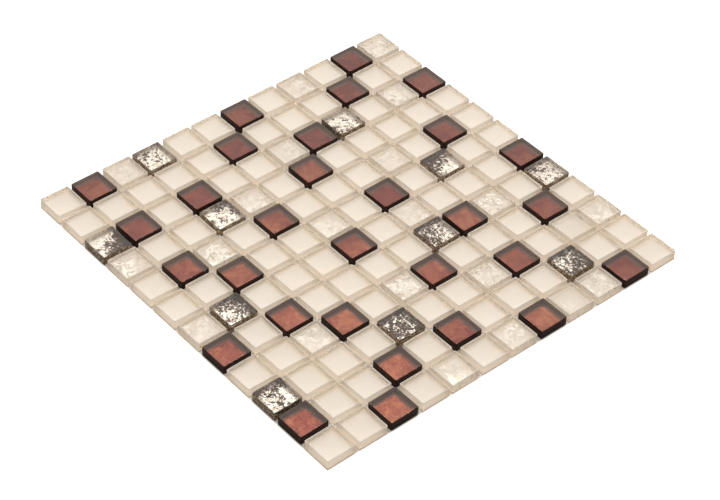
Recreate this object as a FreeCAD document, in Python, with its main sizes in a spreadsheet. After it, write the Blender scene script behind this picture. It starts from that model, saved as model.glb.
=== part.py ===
import FreeCAD, Part
import math
import os

import Sketcher

# A sheet of square glass mosaic tiles, held together by a thin net on its back.
# It lies face up: +Z is up and the origin is the middle of the net's underside.
# Columns run along +X and rows along +Y.

# Driving sizes in millimetres, and one angle in degrees.
SIZES = {
    "tile_width": 22.1,
    "tile_height": 6.8,
    "corner_cut": 0.8,  # on the four upright edges of a tile
    "arris_cut": 0.5,  # round the top face of a tile
    "joint_width": 2.9,  # between two tiles that sit true
    "setting_drift": 0.35,  # how far a hand-set tile strays from its place
    "setting_turn": 0.45,  # how far it is turned, in degrees
    "strand_width": 1.0,
    "strand_height": 0.2,
    "mesh_pitch": 5.0,  # from strand to strand
    "net_inset": 1.2,  # from the rim of the tiles to the ends of the strands
}

# The blend of finishes as it is laid out, back row first, left to right:
# I plain ivory, K ivory with crackled leaf, R copper red, S silver leaf.
BLEND = (
    "KIRIIIRSIKII",
    "RIKIRIIIRKIR",
    "IRIIISIKIISK",
    "KISIKIIRIRIK",
    "IIRIIRKSIKIR",
    "RIKRIIIIRIIK",
    "IRIIIKRIKIRI",
    "IIIKRIIIISIK",
    "SIRSIIIIRIRI",
    "KIIIKRIRKIIR",
    "RIRIRISIIIII",
    "IISKIIKRISRI",
)
FINISHES = {"I": "ivory", "K": "crackle", "R": "copper", "S": "silver"}
ACROSS = len(BLEND)

# Lengths that follow from the driving sizes, as the sheet's expressions write them.
TILE_PITCH = "(Sizes.tile_width + Sizes.joint_width)"
STRAND_LENGTH = f"({ACROSS} * {TILE_PITCH} - Sizes.joint_width - 2 * Sizes.net_inset)"
TILE_BACK = "(2 * Sizes.strand_height)"

doc = FreeCAD.newDocument("MosaicTileSheet")


def make_size_sheet():
    sheet = doc.addObject("Spreadsheet::Sheet", "Sizes")
    for line, (alias, value) in enumerate(SIZES.items(), 1):
        sheet.set(f"A{line}", alias)
        sheet.set(f"B{line}", str(value))
        sheet.setAlias(f"B{line}", alias)
    doc.recompute()


def edges_where(feature, test):
    return [f"Edge{n}" for n, edge in enumerate(feature.Shape.Edges, 1) if test(edge.BoundBox)]


def draw_centred_square(sketch, side):
    """A square about the sketch's origin whose side is bound to the expression given."""
    points = [FreeCAD.Vector(x, y, 0) for x, y in ((-9, -9), (9, -9), (9, 9), (-9, 9))]
    for start in range(4):
        line = Part.LineSegment(points[start], points[(start + 1) % 4])
        sketch.addGeometry(line, False)
    for line in range(4):
        sketch.addConstraint(Sketcher.Constraint("Coincident", line, 2, (line + 1) % 4, 1))
    for line in (0, 2):
        sketch.addConstraint(Sketcher.Constraint("Horizontal", line))
    for line in (1, 3):
        sketch.addConstraint(Sketcher.Constraint("Vertical", line))
    sketch.addConstraint(Sketcher.Constraint("Symmetric", 0, 1, 1, 2, -1, 1))
    sketch.addConstraint(Sketcher.Constraint("Equal", 0, 1))
    width = sketch.addConstraint(Sketcher.Constraint("DistanceX", 0, 1, 0, 2, 18.0))
    sketch.renameConstraint(width, "Side")
    sketch.setExpression("Constraints.Side", side)


def make_tile():
    """One tile: a square block of glass, its upright corners and its top rim cut back."""
    body = doc.addObject("PartDesign::Body", "tile")
    sketch = body.newObject("Sketcher::SketchObject", "TileOutline")
    ground = [plane for plane in body.Origin.OriginFeatures if plane.Role == "XY_Plane"][0]
    sketch.AttachmentSupport = [(ground, "")]
    sketch.MapMode = "FlatFace"
    draw_centred_square(sketch, "Sizes.tile_width")

    block = body.newObject("PartDesign::Pad", "TileBlock")
    block.Profile = sketch
    block.setExpression("Length", "Sizes.tile_height")
    doc.recompute()

    half_height = SIZES["tile_height"] / 2
    corners = body.newObject("PartDesign::Chamfer", "TileCorners")
    corners.Base = (block, edges_where(block, lambda box: box.ZLength > half_height))
    corners.setExpression("Size", "Sizes.corner_cut")
    doc.recompute()

    arris = body.newObject("PartDesign::Chamfer", "TileArris")
    arris.Base = (corners, edges_where(corners, lambda box: box.ZMin > half_height))
    arris.setExpression("Size", "Sizes.arris_cut")
    doc.recompute()
    return body


def make_strand(name, along_x):
    """One flat glass-fibre strand of the net, along X or along Y."""
    strand = doc.addObject("Part::Box", name)
    length_side, width_side = ("Length", "Width") if along_x else ("Width", "Length")
    strand.setExpression(length_side, STRAND_LENGTH)
    strand.setExpression(width_side, "Sizes.strand_width")
    strand.setExpression("Height", "Sizes.strand_height")
    return strand


def lay(piece, name, x, y, z, turn=None):
    """A copy of a piece at a place, and with a turn about Z, given as expressions."""
    copy = doc.addObject("App::Link", name)
    copy.LinkedObject = piece
    copy.LinkTransform = False
    copy.Placement = FreeCAD.Placement(FreeCAD.Vector(), FreeCAD.Rotation(FreeCAD.Vector(0, 0, 1), 1))
    copy.setExpression("Placement.Base.x", x)
    copy.setExpression("Placement.Base.y", y)
    copy.setExpression("Placement.Base.z", z)
    copy.setExpression("Placement.Rotation.Angle", turn if turn else "0")
    return copy


def stray(column, row, phase):
    """A fixed number from -1 to 1 for a tile: sin(12.9 column + 78.2 row + phase)."""
    return round(math.sin(12.9 * column + 78.2 * row + phase), 3)


def on_rim(index):
    """The outer rows and columns lie along the setting frame and don't stray across it."""
    return index in (0, ACROSS - 1)


def lay_tile(tile, column, row):
    middle = (ACROSS - 1) / 2
    drift_x = 0 if on_rim(column) else stray(column, row, 0.4)
    drift_y = 0 if on_rim(row) else stray(column, row, 2.9)
    return lay(
        tile,
        f"Tile_{column + 1}_{row + 1}",
        f"{column - middle} * {TILE_PITCH} + {drift_x} * Sizes.setting_drift",
        f"{row - middle} * {TILE_PITCH} + {drift_y} * Sizes.setting_drift",
        TILE_BACK,
        f"{stray(column, row, 5.1)} * Sizes.setting_turn",
    )


def gather(node, copies):
    group = doc.addObject("Part::Compound", node)
    group.Label = node
    group.Links = copies
    return group


def make_tile_rows():
    """For each row, one node for each finish that it holds; row 1 is at the front."""
    tile = make_tile()
    nodes = []
    for row in range(ACROSS):
        letters = BLEND[ACROSS - 1 - row]
        for letter, finish in FINISHES.items():
            columns = [column for column in range(ACROSS) if letters[column] == letter]
            if columns:
                copies = [lay_tile(tile, column, row) for column in columns]
                nodes.append(gather(f"{finish}_tiles_row_{row + 1:02d}", copies))
    return nodes


def make_net():
    """Warp strands along Y on the ground, and weft strands along X laid over them."""
    net_width = ACROSS * (SIZES["tile_width"] + SIZES["joint_width"]) - SIZES["joint_width"]
    reach = net_width / 2 - SIZES["net_inset"] - SIZES["strand_width"] / 2
    each_side = int(reach / SIZES["mesh_pitch"])
    warp = make_strand("warp_strand", along_x=False)
    weft = make_strand("weft_strand", along_x=True)
    end = f"-{STRAND_LENGTH} / 2"
    warps = []
    wefts = []
    for step in range(-each_side, each_side + 1):
        side = f"{step} * Sizes.mesh_pitch - Sizes.strand_width / 2"
        number = step + each_side + 1
        warps.append(lay(warp, f"Warp_{number}", side, end, "0"))
        wefts.append(lay(weft, f"Weft_{number}", end, side, "Sizes.strand_height"))
    return [gather("net_warp_strands", warps), gather("net_weft_strands", wefts)]


def check_and_write(nodes):
    doc.recompute()
    for item in doc.Objects:
        if "Invalid" in item.State or "Error" in item.State:
            raise RuntimeError(f"{item.Label} did not build: {item.State}")
    for node in nodes:
        if node.Shape.isNull() or not node.Shape.isValid():
            raise RuntimeError(f"{node.Label} has no sound shape")
        if len(node.Shape.Solids) != len(node.Links):
            raise RuntimeError(f"{node.Label} has {len(node.Shape.Solids)} solids")
    os.makedirs("parts", exist_ok=True)
    for node in nodes:
        node.Shape.exportStep(f"parts/{node.Label}.step")
        print(node.Label, len(node.Shape.Solids), "solids", round(node.Shape.Volume, 1), "mm3")


make_size_sheet()
check_and_write(make_tile_rows() + make_net())
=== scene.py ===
import math

import bpy
import numpy as np
from mathutils import Matrix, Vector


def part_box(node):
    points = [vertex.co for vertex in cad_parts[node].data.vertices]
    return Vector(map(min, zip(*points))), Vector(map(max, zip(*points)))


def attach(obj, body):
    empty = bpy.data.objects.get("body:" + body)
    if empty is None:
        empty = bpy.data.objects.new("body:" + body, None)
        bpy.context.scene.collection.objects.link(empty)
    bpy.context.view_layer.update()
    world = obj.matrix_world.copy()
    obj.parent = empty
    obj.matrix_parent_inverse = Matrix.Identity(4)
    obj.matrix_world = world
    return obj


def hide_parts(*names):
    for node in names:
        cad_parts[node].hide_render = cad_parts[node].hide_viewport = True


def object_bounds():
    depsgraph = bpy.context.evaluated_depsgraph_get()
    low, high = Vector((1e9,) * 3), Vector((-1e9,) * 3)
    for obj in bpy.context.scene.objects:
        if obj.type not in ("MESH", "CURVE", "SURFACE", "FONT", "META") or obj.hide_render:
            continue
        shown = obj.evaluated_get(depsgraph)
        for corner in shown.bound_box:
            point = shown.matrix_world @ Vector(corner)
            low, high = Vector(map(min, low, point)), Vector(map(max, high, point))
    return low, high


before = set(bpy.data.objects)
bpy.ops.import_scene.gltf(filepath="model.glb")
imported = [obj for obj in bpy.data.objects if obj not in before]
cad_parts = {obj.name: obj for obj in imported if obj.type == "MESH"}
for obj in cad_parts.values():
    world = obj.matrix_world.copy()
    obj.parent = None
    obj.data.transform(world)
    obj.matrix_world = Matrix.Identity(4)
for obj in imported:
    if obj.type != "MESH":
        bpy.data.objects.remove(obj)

cadLow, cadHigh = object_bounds()
mm = 0.001
anyPhase = 6.3      # upper end of a phase drawn by chance: a full turn, rounded up


# Adds a node; an input is a value or the socket that feeds it.
def put(tree, kind, inputs=None, **settings):
    made = tree.nodes.new("ShaderNode" + kind)
    for key, value in settings.items():
        setattr(made, key, value)
    for key, value in (inputs or {}).items():
        if isinstance(value, bpy.types.NodeSocket):
            tree.links.new(value, made.inputs[key])
        else:
            made.inputs[key].default_value = value
    return made


def startMaterial(name):
    material = bpy.data.materials.new(name)
    material.use_nodes = True
    material.node_tree.nodes.clear()
    return material, material.node_tree


def endMaterial(tree, shader):
    put(tree, "OutputMaterial", {"Surface": shader.outputs[0]})


def calc(tree, operation, first, second):
    return put(tree, "Math", {0: first, 1: second}, operation=operation).outputs[0]


# A value plus another one times its strength.
def addTimes(tree, value, added, strength):
    return calc(tree, "ADD", value, calc(tree, "MULTIPLY", added, strength))


# Carries a value from one range to another with smooth ends.
def ramp(tree, value, low, high, toLow=0.0, toHigh=1.0):
    inputs = {"Value": value, "From Min": low, "From Max": high, "To Min": toLow, "To Max": toHigh}
    return put(tree, "MapRange", inputs, interpolation_type="SMOOTHSTEP").outputs["Result"]


# These three go from the first to the second as the share goes from 0 to 1.
def blendNumbers(tree, share, first, second):
    return ramp(tree, share, 0.0, 1.0, first, second)


def blendColours(tree, share, first, second):
    return put(tree, "Mix", {0: share, 6: first, 7: second}, data_type="RGBA").outputs[2]


def blendShaders(tree, share, first, second):
    return put(tree, "MixShader", {0: share, 1: first.outputs[0], 2: second.outputs[0]})


# Cloudy values about 0.5; the scale is in clouds for each metre.
def noise(tree, place, scale, detail=3.0, roughness=0.5, distortion=0.0):
    inputs = {
        "Vector": place,
        "Scale": scale,
        "Detail": detail,
        "Roughness": roughness,
        "Distortion": distortion,
    }
    return put(tree, "TexNoise", inputs).outputs["Fac"]


# The same about 0, for adding to another value.
def swing(tree, place, scale, detail=3.0, roughness=0.5, distortion=0.0):
    return calc(tree, "SUBTRACT", noise(tree, place, scale, detail, roughness, distortion), 0.5)


def ownPlace(tree):
    return put(tree, "TexCoord").outputs["Object"]


def heightOf(tree, place):
    return put(tree, "SeparateXYZ", {0: place}).outputs[2]


def reads(tree, name):
    return put(tree, "Attribute", attribute_name=name).outputs["Fac"]


# Presses a pattern into a shader's surface.
def emboss(tree, shader, height, strength, depth):
    bump = put(tree, "Bump", {"Strength": strength, "Distance": depth, "Height": height})
    tree.links.new(bump.outputs[0], shader.inputs["Normal"])


# From 0 to 1 across a tile's margin; start and end are shares of the half width.
def nearWall(tree, start, end):
    cornerRound = 0.06
    uv = put(tree, "UVMap", uv_map="tile").outputs["UV"]
    centred = put(tree, "VectorMath", {0: uv, 1: (2, 2, 0), 2: (-1, -1, 0)}, operation="MULTIPLY_ADD")
    size = put(tree, "VectorMath", {0: centred.outputs[0]}, operation="ABSOLUTE")
    parts = put(tree, "SeparateXYZ", {0: size.outputs[0]})
    sides = {0: parts.outputs[0], 1: parts.outputs[1], 2: cornerRound}
    away = put(tree, "Math", sides, operation="SMOOTH_MAX")
    return ramp(tree, away.outputs[0], start, end)


# Lamps go straight through a glass shader, so that what is behind it is lit, and through the
# polished glass matt bounces do too.
def letLightThrough(tree, shader, colour, bounces=True):
    rays = put(tree, "LightPath")
    straight = rays.outputs["Is Shadow Ray"]
    if bounces:
        straight = calc(tree, "MAXIMUM", straight, rays.outputs["Is Diffuse Ray"])
    clear = put(tree, "BsdfTransparent", {"Color": colour})
    return blendShaders(tree, straight, shader, clear)


# The block of pressed glass, the same for all finishes.
glassBlock = {
    "cornerRadius": 0.9 * mm,
    "rimRadius": 0.55 * mm,
    "footArris": 0.2 * mm,
    "footLift": 0.12 * mm,                  # from the back of the tile to the foot of the glass
    "cornerSteps": 6,                       # spans round one corner
    "spans": 5,                             # spans along one side
    "rimSteps": 5,
    "wallRows": (0.12, 0.5, 0.92),          # heights of the rings of the wall, as shares of it
    "faceStep": 0.2 * mm,                   # from the rim to the first ring of the face
    "faceScales": (1.0, 0.75, 0.5, 0.25, 0.0),
    "ior": 1.5,
    "roughness": 0.02,
    "tint": (0.97, 0.985, 0.97, 1),
    "lightTint": (0.98, 0.985, 0.98, 1),    # of the light that goes straight through
    "rippleScale": 160,
    "rippleStrength": 0.10,
    "rippleDepth": 0.2 * mm,
}


# The polished glass of the face and the rim, rippled a little.
def makeGlass():
    material, tree = startMaterial("pressedGlass")
    glass = put(tree, "BsdfPrincipled", {
        "Base Color": glassBlock["tint"],
        "Roughness": glassBlock["roughness"],
        "IOR": glassBlock["ior"],
        "Transmission Weight": 1.0,
    })
    ripple = noise(tree, ownPlace(tree), glassBlock["rippleScale"], 1.0)
    emboss(tree, glass, ripple, glassBlock["rippleStrength"], glassBlock["rippleDepth"])
    endMaterial(tree, letLightThrough(tree, glass, glassBlock["lightTint"]))
    return material


# The ground sides of the ivory and the crackled tiles.
groundSide = {
    "colour": (0.96, 0.88, 0.775, 1),
    # painted shade low on the wall, which is also the colour of its mottles
    "foot": (0.90, 0.81, 0.69, 1),
    # painted highlight along the rim
    "rim": (0.99, 0.95, 0.89, 1),
    "glass": (0.92, 0.87, 0.80, 1),
    "shadeFadesFrom": 0.4 * mm,               # above the bottom of the sheet, where it starts to get paler
    "shadeFadesTo": 1.5 * mm,                 # below its face, where that ends
    "rimBand": (0.6 * mm, 0.3 * mm),    # below the face, where the rim starts and is complete
    "footBand": (0.5 * mm, 0.9 * mm),   # above the back of the tile, where the foot starts to end
    "through": 0.35,                    # share of the matt light that goes through
    "clear": 0.60,                      # how far one looks in
    "clearEnds": 0.15,                  # and at the rim and the foot
    "roughness": 0.55,
    "haze": 0.30,                       # roughness of what one sees through it
    "mottleScale": 900,
    "mottles": 0.08,
    "chipScale": 620,
    "chips": 0.55,                      # how strongly the chips of crackled tiles show
    "chipLight": (0.97, 0.93, 0.86, 1),
    "chipDark": (0.36, 0.28, 0.18, 1),
}


# Ground glass: painted highlight at the rim, painted shade deeper at the foot, mottled, and chipped where
# chips is over 0.
def makeGroundWall(name, chips):
    material, tree = startMaterial(name)
    place = ownPlace(tree)
    height = heightOf(tree, place)
    bottom = float(cadLow.z)
    face = float(cadHigh.z)
    # Painted shade: darker at the foot of the wall, fading out up the wall.
    up = ramp(tree, height, bottom + groundSide["shadeFadesFrom"], face - groundSide["shadeFadesTo"])
    colour = blendColours(tree, up, groundSide["foot"], groundSide["colour"])
    # Painted highlight: a paler band along the rim.
    start, end = groundSide["rimBand"]
    rim = ramp(tree, height, face - start, face - end)
    colour = blendColours(tree, rim, colour, groundSide["rim"])
    mottled = noise(tree, place, groundSide["mottleScale"], 4.0)
    mottled = ramp(tree, mottled, 0.35, 0.75, 0.0, groundSide["mottles"])
    colour = blendColours(tree, mottled, colour, groundSide["foot"])
    chipped = noise(tree, place, groundSide["chipScale"], 4.0, 0.7, 0.6)
    pale = ramp(tree, chipped, 0.54, 0.60, 0.0, chips)
    dark = ramp(tree, chipped, 0.38, 0.45, 0.8 * chips, 0.0)
    colour = blendColours(tree, pale, colour, groundSide["chipLight"])
    colour = blendColours(tree, dark, colour, groundSide["chipDark"])
    matt = put(tree, "BsdfPrincipled", {
        "Base Color": colour,
        "Roughness": groundSide["roughness"],
        "Specular IOR Level": 0.3,
    })
    through = put(tree, "BsdfTranslucent", {"Color": colour})
    skin = blendShaders(tree, groundSide["through"], matt, through)
    tint = blendColours(tree, dark, groundSide["glass"], groundSide["chipDark"])
    inside = {"Color": tint, "Roughness": groundSide["haze"], "IOR": glassBlock["ior"]}
    glass = put(tree, "BsdfGlass", inside)
    start, end = groundSide["footBand"]
    foot = ramp(tree, height, sheet["low"] + start, sheet["low"] + end, 1.0, 0.0)
    ends = calc(tree, "MAXIMUM", rim, foot)
    clear = blendNumbers(tree, ends, groundSide["clear"], groundSide["clearEnds"])
    both = blendShaders(tree, clear, skin, glass)
    endMaterial(tree, letLightThrough(tree, both, groundSide["glass"], bounces=False))
    return material


ivoryCoat = {
    "colour": (0.865, 0.75, 0.63, 1),
    "cloud": (0.88, 0.775, 0.665, 1),
    "cloudScale": 45,
}


# An even coat with faint clouds.
def makeIvoryCoat():
    material, tree = startMaterial("ivoryCoat")
    cloud = noise(tree, ownPlace(tree), ivoryCoat["cloudScale"], 3.0, 0.6)
    colour = blendColours(tree, ramp(tree, cloud, 0.3, 0.7), ivoryCoat["colour"], ivoryCoat["cloud"])
    coat = put(tree, "BsdfPrincipled", {"Base Color": colour, "Roughness": 0.5, "Specular IOR Level": 0.2})
    endMaterial(tree, coat)
    return material


copperCoat = {
    "bright": (0.42, 0.140, 0.064, 1),
    "plain": (0.265, 0.059, 0.029, 1),
    "wine": (0.14, 0.014, 0.010, 1),
    "lacquer": (0.14, 0.045, 0.027, 1),
    # the coat's bare edge without flakes, which is also painted shade near the walls
    "margin": (0.19, 0.095, 0.058, 1),
    "lining": (0.36, 0.21, 0.105, 1),
    "wall": (0.026, 0.009, 0.005, 1),
    "wallSpots": (0.040, 0.014, 0.008, 1),
    "flakes": 0.5,                      # share of the coat that its metal flakes cover
    "tones": (0.08, 0.80),              # the darkest tile's tone and the brightest one's
    "cloudScale": 150,
    "clouds": 2.2,                      # how much the clouds, the streaks and the grain add to it
    "streakScale": 380,
    "streaks": 1.8,
    "grainScale": 900,
    "grain": 1.2,
    "marginBand": (0.67, 0.97),         # where the bare margin starts and is complete
    "raggedScale": 300,
    "ragged": 0.45,                     # how far the start of the margin strays
    "liningBand": (0.3 * mm, 0.9 * mm), # above the back of the tile, where the lining takes over
}


# Copper red flakes in lacquer, cloudy, with a bare brown margin that is also painted shade near the walls,
# and a brown lining on the walls.
def makeCopperCoat():
    material, tree = startMaterial("copperCoat")
    place = ownPlace(tree)
    darkest, brightest = copperCoat["tones"]
    tone = blendNumbers(tree, reads(tree, "tone"), darkest, brightest)
    cloud = swing(tree, place, copperCoat["cloudScale"], 4.0, 0.6, 1.2)
    grain = swing(tree, place, copperCoat["grainScale"], 3.0, 0.7)
    streaks = swing(tree, place, copperCoat["streakScale"], 4.0, 0.6, 1.5)
    mixed = addTimes(tree, tone, cloud, copperCoat["clouds"])
    mixed = addTimes(tree, mixed, streaks, copperCoat["streaks"])
    mixed = addTimes(tree, mixed, grain, copperCoat["grain"])
    colour = blendColours(tree, ramp(tree, mixed, 0.0, 0.5), copperCoat["wine"], copperCoat["plain"])
    colour = blendColours(tree, ramp(tree, mixed, 0.5, 1.0), colour, copperCoat["bright"])
    start, end = copperCoat["liningBand"]
    onWall = ramp(tree, heightOf(tree, place), sheet["low"] + start, sheet["low"] + end)
    ragged = swing(tree, place, copperCoat["raggedScale"], 4.0, 0.7)
    away = addTimes(tree, nearWall(tree, 0.0, 1.0), ragged, copperCoat["ragged"])
    # Partly painted shade: near the walls the flakes give way to the browner bare margin, ragged at its
    # start.
    start, end = copperCoat["marginBand"]
    bareAndShaded = ramp(tree, away, start, end)
    base = blendColours(tree, bareAndShaded, copperCoat["lacquer"], copperCoat["margin"])
    base = blendColours(tree, onWall, base, copperCoat["lining"])
    lacquer = put(tree, "BsdfPrincipled", {"Base Color": base, "Roughness": 0.6, "Specular IOR Level": 0.2})
    flakes = put(tree, "BsdfPrincipled", {"Base Color": colour, "Metallic": 1.0, "Roughness": 0.38})
    emboss(tree, flakes, grain, 0.25, 0.1 * mm)
    share = blendNumbers(tree, calc(tree, "MAXIMUM", onWall, bareAndShaded), copperCoat["flakes"], 0.0)
    endMaterial(tree, blendShaders(tree, share, lacquer, flakes))
    return material


silverCoat = {
    "leaf": (0.89, 0.81, 0.70, 1),
    # painted reflection shade: leaf facets painted darker and creamier, as if facing a dimmer part of the
    # room
    "facetShade": (0.70, 0.58, 0.47, 1),
    "worn": (0.30, 0.20, 0.135, 1),
    "ground": (0.070, 0.032, 0.012, 1),
    "lining": (0.25, 0.165, 0.105, 1),
    "wall": (0.20, 0.135, 0.085, 1),
    "wallSpots": (0.68, 0.57, 0.43, 1),
    "patchScale": 200,
    "patches": 2.8,                     # how much the patches, the tears and the tile's lay count
    "tearScale": 520,
    "tears": 5.4,
    "lay": 1.9,
    "gaps": 4.71,                       # more of it leaves more of the ground bare
    "speckScale": 1500,
    "specks": 0.8,                      # how strongly loose specks of leaf show on the ground
    "facetShadeScale": 330,
    "foldDepth": 0.25 * mm,
}


# Crumpled silver leaf with torn gaps over a dark ground, and patches of painted reflection shade on the
# leaf.
def makeSilverCoat():
    material, tree = startMaterial("silverLeaf")
    place = ownPlace(tree)
    lay = reads(tree, "tone")
    patches = noise(tree, place, silverCoat["patchScale"], 2.0, 0.5, 1.2)
    torn = noise(tree, place, silverCoat["tearScale"], 7.0, 0.64, 0.9)
    mixed = calc(tree, "MULTIPLY", patches, silverCoat["patches"])
    mixed = addTimes(tree, mixed, torn, silverCoat["tears"])
    level = addTimes(tree, calc(tree, "SUBTRACT", mixed, silverCoat["gaps"]), lay, silverCoat["lay"])
    shows = ramp(tree, level, 0.50, 0.60)
    worn = ramp(tree, level, 0.30, 0.52)
    specks = ramp(tree, noise(tree, place, silverCoat["speckScale"], 2.0), 0.64, 0.68)
    shows = calc(tree, "MAXIMUM", shows, calc(tree, "MULTIPLY", specks, silverCoat["specks"]))
    ground = blendColours(tree, nearWall(tree, 0.86, 0.97), silverCoat["ground"], silverCoat["lining"])
    ground = blendColours(tree, worn, ground, silverCoat["worn"])
    # Painted reflection shade: patches of the leaf painted darker and creamier, as facets turned to a
    # dimmer part of the room.
    shadedFacets = ramp(tree, noise(tree, place, silverCoat["facetShadeScale"], 3.0, 0.6, 1.0), 0.40, 0.62)
    leaf = blendColours(tree, shadedFacets, silverCoat["leaf"], silverCoat["facetShade"])
    coat = put(tree, "BsdfPrincipled", {
        "Base Color": blendColours(tree, shows, ground, leaf),
        "Metallic": blendNumbers(tree, shows, 0.0, 0.8),
        "Roughness": blendNumbers(tree, shows, 0.55, 0.32),
        "Specular IOR Level": 0.2,
    })
    emboss(tree, coat, torn, 0.55, silverCoat["foldDepth"])
    endMaterial(tree, coat)
    return material


crackleCoat = {
    "leaf": (0.86, 0.775, 0.67, 1),
    "colour": (0.77, 0.65, 0.53, 1),
    "crease": (0.52, 0.42, 0.30, 1),
    "creaseScale": 150,
    "creaseWidth": 0.11,                # as a share of the space between two creases
    "bendScale": 150,
    "bend": 0.014,                      # how far the creases are bent out of their straight lines
    "hereScale": 120,                   # of the areas that have creases
    "patchScale": 170,
    "marginBand": (0.80, 0.94),         # where the leaf thins out and ends
    "metal": 0.38,
    "foldDepth": 0.6 * mm,
}


# Pearly leaf crumpled on the ivory coat: soft glints, and creases embossed as a net of fine lines.
def makeCrackleCoat():
    material, tree = startMaterial("crackledLeaf")
    place = ownPlace(tree)
    lay = reads(tree, "tone")
    warp = put(tree, "TexNoise", {"Vector": place, "Scale": crackleCoat["bendScale"], "Detail": 3.0})
    bend = (crackleCoat["bend"],) * 3
    bent = put(tree, "VectorMath", {0: warp.outputs["Color"], 1: bend, 2: place}, operation="MULTIPLY_ADD")
    lines = {"Vector": bent.outputs[0], "Scale": crackleCoat["creaseScale"]}
    cells = put(tree, "TexVoronoi", lines, feature="DISTANCE_TO_EDGE")
    crease = ramp(tree, cells.outputs["Distance"], 0.0, crackleCoat["creaseWidth"], 1.0, 0.0)
    here = ramp(tree, noise(tree, place, crackleCoat["hereScale"], 2.0), 0.42, 0.62)
    crease = calc(tree, "MULTIPLY", calc(tree, "MULTIPLY", crease, lay), here)
    patches = noise(tree, place, crackleCoat["patchScale"], 4.0, 0.6, 1.6)
    shows = calc(tree, "MULTIPLY", ramp(tree, patches, 0.44, 0.60), ramp(tree, lay, 0.1, 0.8))
    start, end = crackleCoat["marginBand"]
    margin = nearWall(tree, start, end)
    shows = calc(tree, "MULTIPLY", shows, calc(tree, "SUBTRACT", 1.0, margin))
    plain = blendColours(tree, margin, crackleCoat["colour"], ivoryCoat["cloud"])
    colour = blendColours(tree, shows, plain, crackleCoat["leaf"])
    colour = blendColours(tree, crease, colour, crackleCoat["crease"])
    metal = calc(tree, "MULTIPLY", shows, crackleCoat["metal"])
    coat = put(tree, "BsdfPrincipled", {"Base Color": colour, "Metallic": metal, "Roughness": 0.28})
    folds = calc(tree, "SUBTRACT", patches, calc(tree, "MULTIPLY", crease, 0.25))
    emboss(tree, coat, folds, ramp(tree, lay, 0.0, 0.8, 0.2, 1.0), crackleCoat["foldDepth"])
    endMaterial(tree, coat)
    return material


darkSide = {
    "fleckScale": 700,
    "flecks": (0.48, 0.62),     # values of the pattern where a fleck starts and is complete
    "roughness": 0.45,
    "specular": 0.14,
}


# The dark sides of the copper and the silver tiles, flecked with their coat's own spots.
def makeDarkWall(name, coat):
    material, tree = startMaterial(name)
    start, end = darkSide["flecks"]
    flecks = ramp(tree, noise(tree, ownPlace(tree), darkSide["fleckScale"], 4.0, 0.6), start, end)
    side = put(tree, "BsdfPrincipled", {
        "Base Color": blendColours(tree, flecks, coat["wall"], coat["wallSpots"]),
        "Roughness": darkSide["roughness"],
        "Specular IOR Level": darkSide["specular"],
    })
    endMaterial(tree, side)
    return material


def pointsOf(node):
    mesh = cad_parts[node].data
    points = np.empty(len(mesh.vertices) * 3)
    mesh.vertices.foreach_get("co", points)
    return points.reshape(-1, 3)


# The sheet's pitch, its front left tile's centre and its tiles' height, from the boxes of its nodes.
# The second row holds a single silver tile, whose box gives the width of a tile.
def readSheet():
    across = 12
    rows = sorted(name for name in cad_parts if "_tiles_row_" in name)
    low = min(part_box(name)[0].z for name in rows)
    high = max(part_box(name)[1].z for name in rows)
    tileLow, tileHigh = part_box("silver_tiles_row_02")
    pitch = (cadHigh.x - cadLow.x - (tileHigh.x - tileLow.x)) / (across - 1)
    corner = np.full(2, -(across - 1) / 2 * pitch)
    return {"pitch": pitch, "corner": corner, "low": low, "high": high, "rows": rows}


# Each tile of a node, from the node's own corners: its place, turn and half width.
# The turn is a quarter of the angle of the sum of (x + iy)^4 over a tile's corners.
def readTiles(node):
    points = pointsOf(node)
    cells = np.round((points[:, :2] - sheet["corner"]) / sheet["pitch"]).astype(int)
    tiles = []
    for cell in sorted({tuple(c) for c in cells.tolist()}):
        own = points[(cells == cell).all(1)]
        middle = (own[:, :2].min(0) + own[:, :2].max(0)) / 2
        flat = (own[:, 0] - middle[0]) + 1j * (own[:, 1] - middle[1])
        turn = (np.angle((flat ** 4).sum()) - math.pi) / 4
        turn = (turn + math.pi / 4) % (math.pi / 2) - math.pi / 4
        half = np.abs((flat * np.exp(-1j * turn)).real).max()
        tiles.append({"cell": cell, "x": middle[0], "y": middle[1], "turn": turn, "half": half})
    return tiles


# How bright a copper tile is, or how much leaf a crackled one holds, from 0 to 1.
toneLevels = {
    "wine": 0.1,
    "dusky": 0.3,
    "copper": 0.5,
    "bright": 0.72,
    "faint": 0.25,
    "crackle": 0.55,
    "strong": 0.9,
    "stray": 0.08,      # how far a tile strays from its level by chance
}

# Tiles that stand out in their finish, as (column, row) counted from the front left.
standOut = {
    "wine": {(0, 10), (1, 9), (2, 7), (1, 5), (5, 7)},
    "dusky": {(6, 11), (4, 10), (8, 10), (11, 10), (2, 3), (2, 1)},
    "bright": {(3, 6), (7, 8), (11, 7), (8, 3), (10, 3), (5, 2), (7, 2), (11, 2)},
    "faint": {(9, 10), (11, 8)},
    "strong": {(8, 5), (9, 7), (4, 2), (0, 11), (2, 10), (7, 9)},
}

# Silver leaf by tile: how much of the tile it covers, the heading in degrees along which it
# gets denser, and by how much from the middle to that side.
leafLay = {
    (7, 11): (0.66, 60, 0.15),
    (5, 9): (0.54, 40, 0.55),
    (10, 9): (0.44, 200, 0.10),
    (2, 8): (0.74, 160, 0.25),
    (7, 7): (0.52, 60, 0.25),
    (9, 4): (0.44, 0, 0.05),
    (0, 3): (0.72, 90, 0.15),
    (3, 3): (0.74, 0, 0.10),
    (6, 1): (0.54, 270, 0.30),
    (2, 0): (0.55, 215, 0.65),
    (9, 0): (0.64, 30, 0.15),
}


def tileSeed(cell):
    return np.random.default_rng(1000 + 37 * cell[0] + 101 * cell[1])


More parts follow.
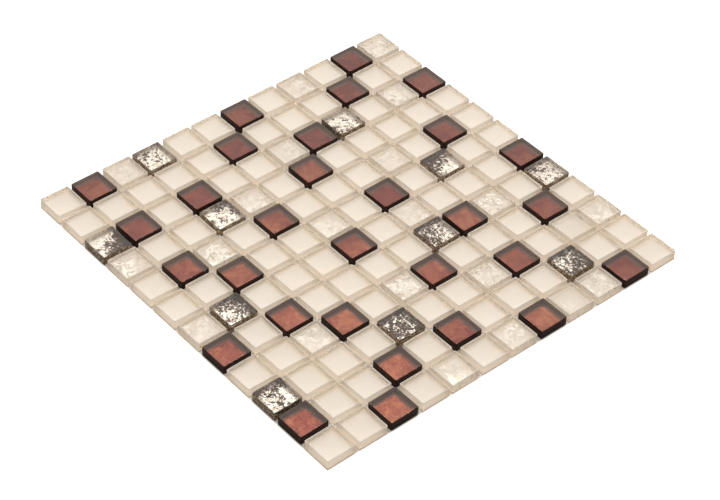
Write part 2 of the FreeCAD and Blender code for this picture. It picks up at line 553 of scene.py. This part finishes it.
# How bright a tile is or how much leaf it holds, which way that grows and by how much.
def toneOf(finish, cell):
    chance = tileSeed(cell)
    strayed = chance.uniform(-toneLevels["stray"], toneLevels["stray"])
    heading = chance.uniform(0, 360)
    if finish == "silver":
        return leafLay.get(cell, (0.6, heading, 0.2))
    kind = "crackle" if finish == "crackle" else "copper"
    slope = 0.25 if finish == "crackle" else 0.16
    for other, cells in standOut.items():
        kind = other if cell in cells else kind
    return (toneLevels[kind] + strayed, heading, slope)


# How a tile differs from finish to finish, with wave, swell and relief in millimetres:
# wave is how far the walls wave, swell how uneven the face is and relief how deep the leaf is folded.
# The coat has rings from wall to middle and spans along a side, and a lined one covers the walls
# inside. Of the steps of the rim the last bright ones are polished like the face, the others ground.
finishes = {
    "ivory": {
        "wave": 0.00, "swell": 0.004, "relief": 0.00,
        "rings": 4, "spans": 3, "lined": False, "bright": 0,
    },
    "copper": {
        "wave": 0.00, "swell": 0.004, "relief": 0.00,
        "rings": 4, "spans": 3, "lined": True, "bright": 3,
    },
    "crackle": {
        "wave": 0.06, "swell": 0.04, "relief": 0.26,
        "rings": 22, "spans": 18, "lined": False, "bright": 0,
    },
    "silver": {
        "wave": 0.08, "swell": 0.04, "relief": 0.34,
        "rings": 26, "spans": 22, "lined": True, "bright": 3,
    },
}

# The layer of the coat; insets are from the outline of the tile, heights from its back.
coatLayer = {
    "backInset": 0.16 * mm,
    "edge": ((0.27 * mm, 0.10 * mm), (0.30 * mm, 0.15 * mm)),  # inset and height of its two steps
    "faceInset": 0.30 * mm,
    "faceHeight": 0.21 * mm,
    "liningFoot": 0.5 * mm,     # height at which the lining reaches the wall
    "liningOuter": 0.06 * mm,   # inset of the side that lies on the wall
    "liningBevel": 0.12 * mm,   # inset of its top edge
    "liningInner": 0.16 * mm,   # inset of the side that one sees
    "liningTop": 0.15 * mm,     # below the rim
    "fillet": 0.5 * mm,         # where the lining turns into the face
    "filletSteps": 4,
}


# Points on a square with round corners and the outward direction at each.
# A corner is its centre plus the radius times (cos a, sin a), a going from 0 to 90 degrees,
# and a side is a straight run between two corners.
def roundedSquare(half, radius, sideSteps):
    arc = np.linspace(0, math.pi / 2, glassBlock["cornerSteps"] + 1)
    run = np.linspace(0, 1, sideSteps + 1)[1:-1]
    points = []
    outward = []
    for quarter in range(4):
        turn = np.exp(0.5j * math.pi * quarter)
        corner = (half - radius) * (1 + 1j) + radius * np.exp(1j * arc)
        start = (half - radius) + 1j * half
        end = -(half - radius) + 1j * half
        points.append(turn * np.concatenate([corner, start + (end - start) * run]))
        outward.append(turn * np.concatenate([np.exp(1j * arc), np.full(len(run), 1j)]))
    return np.concatenate(points), np.concatenate(outward)


# The block from the middle of its foot to the middle of its face, as inset, scale and height.
# The rim is a quarter circle: inset R(1 - cos a) and height H - R + R sin a.
def blockSection(low, high):
    foot = glassBlock["footArris"]
    rim = glassBlock["rimRadius"]
    wall = high - rim - low
    angle = np.linspace(0, math.pi / 2, glassBlock["rimSteps"] + 1)
    section = [(foot, scale, low) for scale in (0.0, 0.6, 1.0)]
    section += [(0.3 * foot, 1.0, low + 0.3 * foot), (0.0, 1.0, low + foot)]
    section += [(0.0, 1.0, low + share * wall) for share in glassBlock["wallRows"]]
    section += [(rim * (1 - math.cos(a)), 1.0, high - rim + rim * math.sin(a)) for a in angle]
    section += [(rim + glassBlock["faceStep"], scale, high) for scale in glassBlock["faceScales"]]
    return np.array(section)


# The coat from the middle of its back to the middle of its face, as inset, scale and height.
# A lined one goes up inside the walls and comes down to its face by a quarter circle.
def coatSection(rings, lined):
    low = sheet["low"]
    face = low + coatLayer["faceHeight"]
    scales = np.linspace(1, 0, rings + 1)
    section = [(coatLayer["backInset"], scale, low) for scale in (0.0, 0.6, 1.0)]
    section += [(inset, 1.0, low + height) for inset, height in coatLayer["edge"]]
    if not lined:
        return np.array(section + [(coatLayer["faceInset"], scale, face) for scale in scales])
    outer = coatLayer["liningOuter"]
    inner = coatLayer["liningInner"]
    fillet = coatLayer["fillet"]
    top = sheet["high"] - glassBlock["rimRadius"] - coatLayer["liningTop"]
    angle = np.linspace(0, math.pi / 2, coatLayer["filletSteps"] + 1)
    section += [(outer, 1.0, low + coatLayer["liningFoot"]), (outer, 1.0, top)]
    section += [(coatLayer["liningBevel"], 1.0, top)]
    section += [(inner, 1.0, top + share * (face + fillet - top)) for share in (0.02, 0.35, 0.7)]
    section += [(inner + fillet * (1 - math.cos(a)), 1.0, face + fillet * (1 - math.sin(a))) for a in angle]
    section += [(inner + fillet, scale, face) for scale in scales[1:]]
    return np.array(section)


# Carries a section round an outline: places across the tile as complex numbers, and heights.
def carryRound(section, outline, outward, wobble=0.0):
    inset = section[:, 0][:, None] + wobble
    flat = (outline[None, :] - outward[None, :] * inset) * section[:, 1][:, None]
    return flat, np.repeat(section[:, 2][:, None], len(outline), 1)


# The rings in the sheet's frame, with the first and the last one drawn together into a point.
def closeRings(flat, height, tile):
    placed = flat * np.exp(1j * tile["turn"]) + tile["x"] + 1j * tile["y"]
    grid = np.stack([placed.real, placed.imag, height], 2)
    return np.concatenate([grid[0, :1], grid[1:-1].reshape(-1, 3), grid[-1, :1]])


# A fan round the first point, quads from ring to ring and a fan round the last point.
def ringFaces(rings, around):
    step = np.arange(around)
    after = (step + 1) % around
    base = 1 + around * np.arange(rings - 3)[:, None]
    last = 1 + around * (rings - 3)
    quads = np.stack([base + step, base + after, base + around + after, base + around + step], -1)
    first = np.stack([0 * step, 1 + after, 1 + step], -1)
    final = np.stack([last + step, last + after, 0 * step + last + around], -1)
    return first.tolist() + quads.reshape(-1, 4).tolist() + final.tolist()


# A tile's faces, numbered on from the points of the tiles before it.
def numberedOn(faces, points):
    offset = sum(len(part) for part in points)
    return [[offset + i for i in face] for face in faces]


def addMesh(name, points, faces, materials, slots=None, smooth=True):
    mesh = bpy.data.meshes.new(name)
    mesh.from_pydata(points.tolist(), [], faces)
    for material in materials:
        mesh.materials.append(material)
    if slots is not None:
        mesh.polygons.foreach_set("material_index", np.asarray(slots, np.int32))
    mesh.polygons.foreach_set("use_smooth", np.full(len(mesh.polygons), smooth))
    mesh.update()
    thing = bpy.data.objects.new(name, mesh)
    bpy.context.scene.collection.objects.link(thing)
    return thing


# A UV map from one place for each vertex.
def writeMap(mesh, name, places):
    corners = np.empty(len(mesh.loops), np.int32)
    mesh.loops.foreach_get("vertex_index", corners)
    layer = mesh.uv_layers.new(name=name)
    layer.data.foreach_set("uv", places[corners].astype(np.float32).ravel())


# How far a wall goes in round a tile: 0.8 less half the sum of sin(k angle + phase) for a few k.
def wallWave(outline, chance):
    wave = 0
    for k in (3, 5, 8, 13):
        size = chance.uniform(0.3, 1.0) / k ** 0.5
        wave = wave + size * np.sin(k * np.angle(outline) + chance.uniform(0, anyPhase))
    return 0.8 - wave / 2


# How far a face sinks, from 0 to -2: the mean of sin(q.p + phase) for three headings, less 1.
def faceSwell(flat, chance):
    swell = 0
    for perMetre in (180, 306, 414):
        way = (flat * np.exp(1j * chance.uniform(0, anyPhase))).real
        swell = swell + np.sin(perMetre * way + chance.uniform(0, anyPhase))
    return swell / 3 - 1


# The glass of a node's tiles: a rounded square drawn up its section, with a slightly uneven face.
def makeBlocks(name, node, finish, glass, wall):
    settings = finishes[finish]
    section = blockSection(sheet["low"] + glassBlock["footLift"], sheet["high"])
    rise = (section[:, 2] - sheet["low"]) / (sheet["high"] - sheet["low"])
    atFace = np.clip((rise[:, None] - 0.9) * 10, 0, 1)
    rimEnd = len(section) - len(glassBlock["faceScales"]) - 1
    points = []
    faces = []
    slots = []
    for tile in readTiles(node):
        outline, outward = roundedSquare(tile["half"], glassBlock["cornerRadius"], glassBlock["spans"])
        chance = tileSeed(tile["cell"])
        wobble = settings["wave"] * mm * np.outer(rise, wallWave(outline, chance))
        flat, height = carryRound(section, outline, outward, wobble)
        height = height + settings["swell"] * mm * faceSwell(flat, chance) * atFace
        faces += numberedOn(ringFaces(len(section), len(outline)), points)
        points.append(closeRings(flat, height, tile))
        ring = np.repeat(np.arange(len(section) - 1), len(outline))
        slots.append(ring < rimEnd - settings["bright"])
    return addMesh(name, np.concatenate(points), faces, [glass, wall], np.concatenate(slots))


# A crumpled sheet: the sum of folded sine waves |sin(k.p + phase)| in chance directions.
def crumple(x, y, chance, amount):
    total = np.zeros_like(x)
    for size in (5.0, 3.2, 2.1, 1.3, 0.9):
        for _ in range(2):
            heading = chance.uniform(0, math.pi)
            phase = chance.uniform(0, math.pi)
            way = (x * math.cos(heading) + y * math.sin(heading)) * math.pi / (size * mm)
            total += size / 12 * np.abs(np.sin(way + phase + 1.3 * np.sin(way * 0.37 + phase)))
    return amount * mm * total / 2.1


# The coat behind a node's tiles: a rounded square drawn along its section, crumpled where it is leaf.
# The folds get lower towards the walls by 1 - (r / 0.95)^8, r being the share of the half width.
def makeCoats(name, node, finish, coat):
    settings = finishes[finish]
    section = coatSection(settings["rings"], settings["lined"])
    backRows = 3 + len(coatLayer["edge"])
    inFront = (np.arange(len(section)) >= backRows)[:, None]
    points = []
    faces = []
    maps = []
    tones = []
    for tile in readTiles(node):
        outline, outward = roundedSquare(tile["half"], glassBlock["cornerRadius"], settings["spans"])
        flat, height = carryRound(section, outline, outward)
        middle, heading, slope = toneOf(finish, tile["cell"])
        local = flat / tile["half"]
        inside = 1 - np.clip(np.maximum(np.abs(local.real), np.abs(local.imag)) / 0.95, 0, 1) ** 8
        relief = settings["relief"] * (0.35 + 0.65 * middle)
        folds = crumple(flat.real, flat.imag, tileSeed(tile["cell"]), relief)
        height = height + folds * inside * inFront
        faces += numberedOn(ringFaces(len(section), len(outline)), points)
        points.append(closeRings(flat, height, tile))
        local = np.concatenate([local[0, :1], local[1:-1].ravel(), local[-1, :1]])
        maps.append(np.stack([local.real, local.imag], 1) / 2 + 0.5)
        tones.append(middle + slope * (local * np.exp(-1j * math.radians(heading))).real)
    thing = addMesh(name, np.concatenate(points), faces, [coat])
    writeMap(thing.data, "tile", np.concatenate(maps))
    attribute = thing.data.attributes.new("tone", "FLOAT", "POINT")
    attribute.data.foreach_set("value", np.concatenate(tones).astype(np.float32))
    return thing


def makeTiles():
    glass = makeGlass()
    walls = {
        "ivory": makeGroundWall("groundIvorySide", 0.0),
        "crackle": makeGroundWall("chippedIvorySide", groundSide["chips"]),
        "copper": makeDarkWall("darkCopperSide", copperCoat),
        "silver": makeDarkWall("leafSpeckledSide", silverCoat),
    }
    coats = {
        "ivory": makeIvoryCoat(),
        "copper": makeCopperCoat(),
        "silver": makeSilverCoat(),
        "crackle": makeCrackleCoat(),
    }
    for node in sheet["rows"]:
        finish, row = node.split("_")[0], node[-2:]
        blocks = makeBlocks(finish + "Glass" + row, node, finish, glass, walls[finish])
        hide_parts(node)
        coat = makeCoats(finish + "Coat" + row, node, finish, coats[finish])
        for piece in (blocks, coat):
            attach(piece, "root")
    print("tiles:", len(sheet["rows"]), "groups")


backingNet = {
    "width": 1.0 * mm,
    "thick": 0.19 * mm,
    "sides": 6,             # of a strand's section
    "spansPerMesh": 2,      # from one crossing to the next
    "pinch": 0.1,           # half the share by which a strand is narrower between its crossings
    "sway": 0.06 * mm,
    "swayPerMetre": 60,     # radians
    "glassFibre": (0.86, 0.84, 0.79, 1),
    "shade": (0.66, 0.63, 0.56, 1),
    "ridges": 3.0,          # scale of the twist along a mesh
}


# Twisted glass fibre: fine slanting ridges across a strand.
def makeNetFibre():
    material, tree = startMaterial("netFibre")
    uv = put(tree, "UVMap", uv_map="strand").outputs["UV"]
    ridges = {"Vector": uv, "Scale": backingNet["ridges"], "Distortion": 1.2, "Detail": 2.0}
    twist = put(tree, "TexWave", ridges).outputs["Fac"]
    colour = blendColours(tree, twist, backingNet["shade"], backingNet["glassFibre"])
    fibre = put(tree, "BsdfPrincipled", {"Base Color": colour, "Roughness": 0.6})
    emboss(tree, fibre, twist, 0.5, 0.05 * mm)
    endMaterial(tree, fibre)
    return material


# The strands of one layer: a flat oval carried along a line that sways by a slow sine wave.
# Each line starts from the middle of one of the node's own bars.
def makeStrands(name, node, alongX, fibre):
    low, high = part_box(node)
    length = (high.x - low.x) if alongX else (high.y - low.y)
    spread = (high.y - low.y) if alongX else (high.x - low.x)
    edges = np.unique(np.round(pointsOf(node)[:, 1 if alongX else 0], 6))
    middles = (edges[0::2] + edges[1::2]) / 2
    pitch = middles[1] - middles[0]
    limit = spread / 2 - backingNet["width"] / 2
    spans = int(round(length / pitch * backingNet["spansPerMesh"]))
    around = backingNet["sides"]
    along = np.linspace(-length / 2, length / 2, spans + 1)
    turn = np.arange(around) / around * 2 * math.pi
    swell = 1 - backingNet["pinch"] + backingNet["pinch"] * np.cos(along * 2 * math.pi / pitch)
    across = np.outer(backingNet["width"] / 2 * swell, np.cos(turn))
    level = (low.z + high.z) / 2 + backingNet["thick"] / 2 * np.sin(turn)
    s = np.repeat(along[:, None], around, 1)
    w = np.repeat(level[None, :], spans + 1, 0)
    share = np.repeat(turn[None, :] / (2 * math.pi), spans + 1, 0)
    places = np.stack([s / pitch, share], 2).reshape(-1, 2)
    points = []
    faces = []
    for number, middle in enumerate(middles):
        chance = np.random.default_rng(5000 + number + 500 * alongX)
        phase = chance.uniform(0, anyPhase)
        sway = backingNet["sway"] * np.sin(along * backingNet["swayPerMetre"] + phase)
        u = np.clip(middle + sway, -limit, limit)[:, None] + across
        grid = np.stack([s, u, w] if alongX else [u, s, w], 2)
        points.append(grid.reshape(-1, 3))
        index = np.arange(s.size).reshape(s.shape) + number * s.size
        after = np.roll(index, -1, 1)
        quads = np.stack([index[:-1], index[1:], after[1:], after[:-1]], -1).reshape(-1, 4)
        quads = quads if alongX else quads[:, ::-1]
        faces += quads.tolist()
        ends = [index[0].tolist(), index[-1][::-1].tolist()]
        faces += ends if alongX else [end[::-1] for end in ends]
    thing = addMesh(name, np.concatenate(points), faces, [fibre])
    writeMap(thing.data, "strand", np.tile(places, (len(middles), 1)))
    return thing


def makeNet():
    fibre = makeNetFibre()
    layers = (("netWarp", "net_warp_strands", False), ("netWeft", "net_weft_strands", True))
    for name, node, alongX in layers:
        strands = makeStrands(name, node, alongX, fibre)
        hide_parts(node)
        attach(strands, "root")
    print("net: two layers of strands")


studio = {
    "farSide": (-0.45, 0.41, 0.79),     # where the light comes from: behind the sheet and high up
    "lightBand": (0.25, 1.0),           # cosines of the angle to it where the light starts and is full
    "farLight": 1.15,                   # brightness of that side of the room for matt surfaces
    "nearLight": 0.15,                  # and of the side where the camera stands
    "shineBand": (0.45, 0.97),          # the same three as gloss and metal show them
    "farShine": 1.25,
    "nearShine": 0.14,
    "softboxSize": 0.6,
    "softboxPlace": (-0.12, 0.11, 0.95),
    "softboxPower": 4.0,
    "floorSize": 12.0,
    "floorDrop": 0.06 * mm,             # below the net
    "floorColour": (0.66, 0.63, 0.59, 1),
    "floorLift": 0.84,                  # what the floor shows over its own light, clear of the sheet
    "jointLift": 0.145,                 # and between the tiles
    "jointColour": (1.0, 0.90, 0.76, 1),
    "rimBand": (-0.4 * mm, 0.9 * mm),   # from the rim of the sheet, where the one becomes the other
    "white": (1, 1, 1, 1),
}


# A room that is bright behind the sheet and dim on the near side, and white to the camera.
def makeRoom():
    world = bpy.data.worlds.new("whiteRoom")
    bpy.context.scene.world = world
    world.use_nodes = True
    tree = world.node_tree
    tree.nodes.clear()
    rays = put(tree, "LightPath")
    direction = put(tree, "TexCoord").outputs["Generated"]
    facing = put(tree, "VectorMath", {0: direction, 1: studio["farSide"]}, operation="DOT_PRODUCT")
    toward = facing.outputs["Value"]
    glossy = calc(tree, "MAXIMUM", rays.outputs["Is Glossy Ray"], rays.outputs["Is Transmission Ray"])
    start, end = studio["shineBand"]
    shine = ramp(tree, toward, start, end, studio["nearShine"], studio["farShine"])
    start, end = studio["lightBand"]
    matt = ramp(tree, toward, start, end, studio["nearLight"], studio["farLight"])
    room = put(tree, "Mix", {0: glossy, 2: matt, 3: shine}, data_type="FLOAT").outputs[0]
    strength = calc(tree, "MAXIMUM", room, rays.outputs["Is Camera Ray"])
    backdrop = put(tree, "Background", {"Color": studio["white"], "Strength": strength})
    put(tree, "OutputWorld", {"Surface": backdrop.outputs[0]})


# One soft lamp over the sheet, turned to its middle.
def makeSoftbox():
    lamp = bpy.data.lights.new("softbox", "AREA")
    lamp.size = studio["softboxSize"]
    lamp.energy = studio["softboxPower"]
    softbox = bpy.data.objects.new("softbox", lamp)
    place = Matrix.Translation(studio["softboxPlace"])
    aim = -place.translation
    softbox.matrix_world = place @ aim.to_track_quat("-Z", "Y").to_matrix().to_4x4()
    bpy.context.scene.collection.objects.link(softbox)


# A pale floor, which the camera and the glass see with a light of its own added: white outside the
# rim of the sheet, and a little of a warm one in the joints.
def makeFloor():
    half = studio["floorSize"] / 2
    corners = np.array([(-half, -half, 0), (half, -half, 0), (half, half, 0), (-half, half, 0)])
    corners[:, 2] = -studio["floorDrop"]
    material, tree = startMaterial("paleFloor")
    paint = put(tree, "BsdfDiffuse", {"Color": studio["floorColour"]})
    rays = put(tree, "LightPath")
    place = put(tree, "VectorMath", {0: ownPlace(tree)}, operation="ABSOLUTE")
    parts = put(tree, "SeparateXYZ", {0: place.outputs[0]})
    away = calc(tree, "MAXIMUM", parts.outputs[0], parts.outputs[1])
    rim = float(cadHigh.x)
    start, end = studio["rimBand"]
    outside = ramp(tree, away, rim + start, rim + end)
    clear = blendNumbers(tree, outside, studio["jointLift"], studio["floorLift"])
    shows = calc(tree, "MAXIMUM", rays.outputs["Is Camera Ray"], rays.outputs["Is Transmission Ray"])
    lift = calc(tree, "MULTIPLY", shows, clear)
    light = blendColours(tree, outside, studio["jointColour"], studio["white"])
    glow = put(tree, "Emission", {"Color": light, "Strength": lift})
    endMaterial(tree, put(tree, "AddShader", {0: paint.outputs[0], 1: glow.outputs[0]}))
    floor = addMesh("floor", corners, [(0, 1, 2, 3)], [material], smooth=False)


def makeStudio():
    makeRoom()
    makeSoftbox()
    makeFloor()
    print("studio: room, softbox and floor")


# The sheet lies flat and the camera looks down across one of its corners.
view = {
    "azimuth": 47.590,
    "elevation": 42.682,
    "roll": 2.882,
    "distance": 1.46386,
    "target": (0.01437, -0.00890, 0.0),
    "focalPixels": 2236.67,
    "imageWidth": 720,
    "sensor": 36.0,
}


# Looks at the target from the azimuth and elevation, rolled about its own line of sight.
def makeCamera():
    around = math.radians(view["azimuth"])
    up = math.radians(view["elevation"])
    roll = math.radians(view["roll"])
    back = np.array([math.sin(around) * math.cos(up), -math.cos(around) * math.cos(up), math.sin(up)])
    level = np.array([math.cos(around), math.sin(around), 0.0])
    rise = np.cross(back, level)
    right = level * math.cos(roll) + rise * math.sin(roll)
    top = rise * math.cos(roll) - level * math.sin(roll)
    lens = bpy.data.cameras.new("camera")
    lens.sensor_width = view["sensor"]
    lens.lens = view["focalPixels"] / view["imageWidth"] * view["sensor"]
    lens.clip_start = 0.01
    camera = bpy.data.objects.new("camera", lens)
    place = np.array(view["target"]) + back * view["distance"]
    camera.matrix_world = Matrix([
        [right[0], top[0], back[0], place[0]],
        [right[1], top[1], back[1], place[1]],
        [right[2], top[2], back[2], place[2]],
        [0, 0, 0, 1],
    ])
    bpy.context.scene.collection.objects.link(camera)
    bpy.context.scene.camera = camera
    print("camera: lens", round(lens.lens, 1), "mm")


bpy.context.scene.view_settings.view_transform = "Standard"
sheet = readSheet()
makeCamera()
makeStudio()
makeTiles()
makeNet()
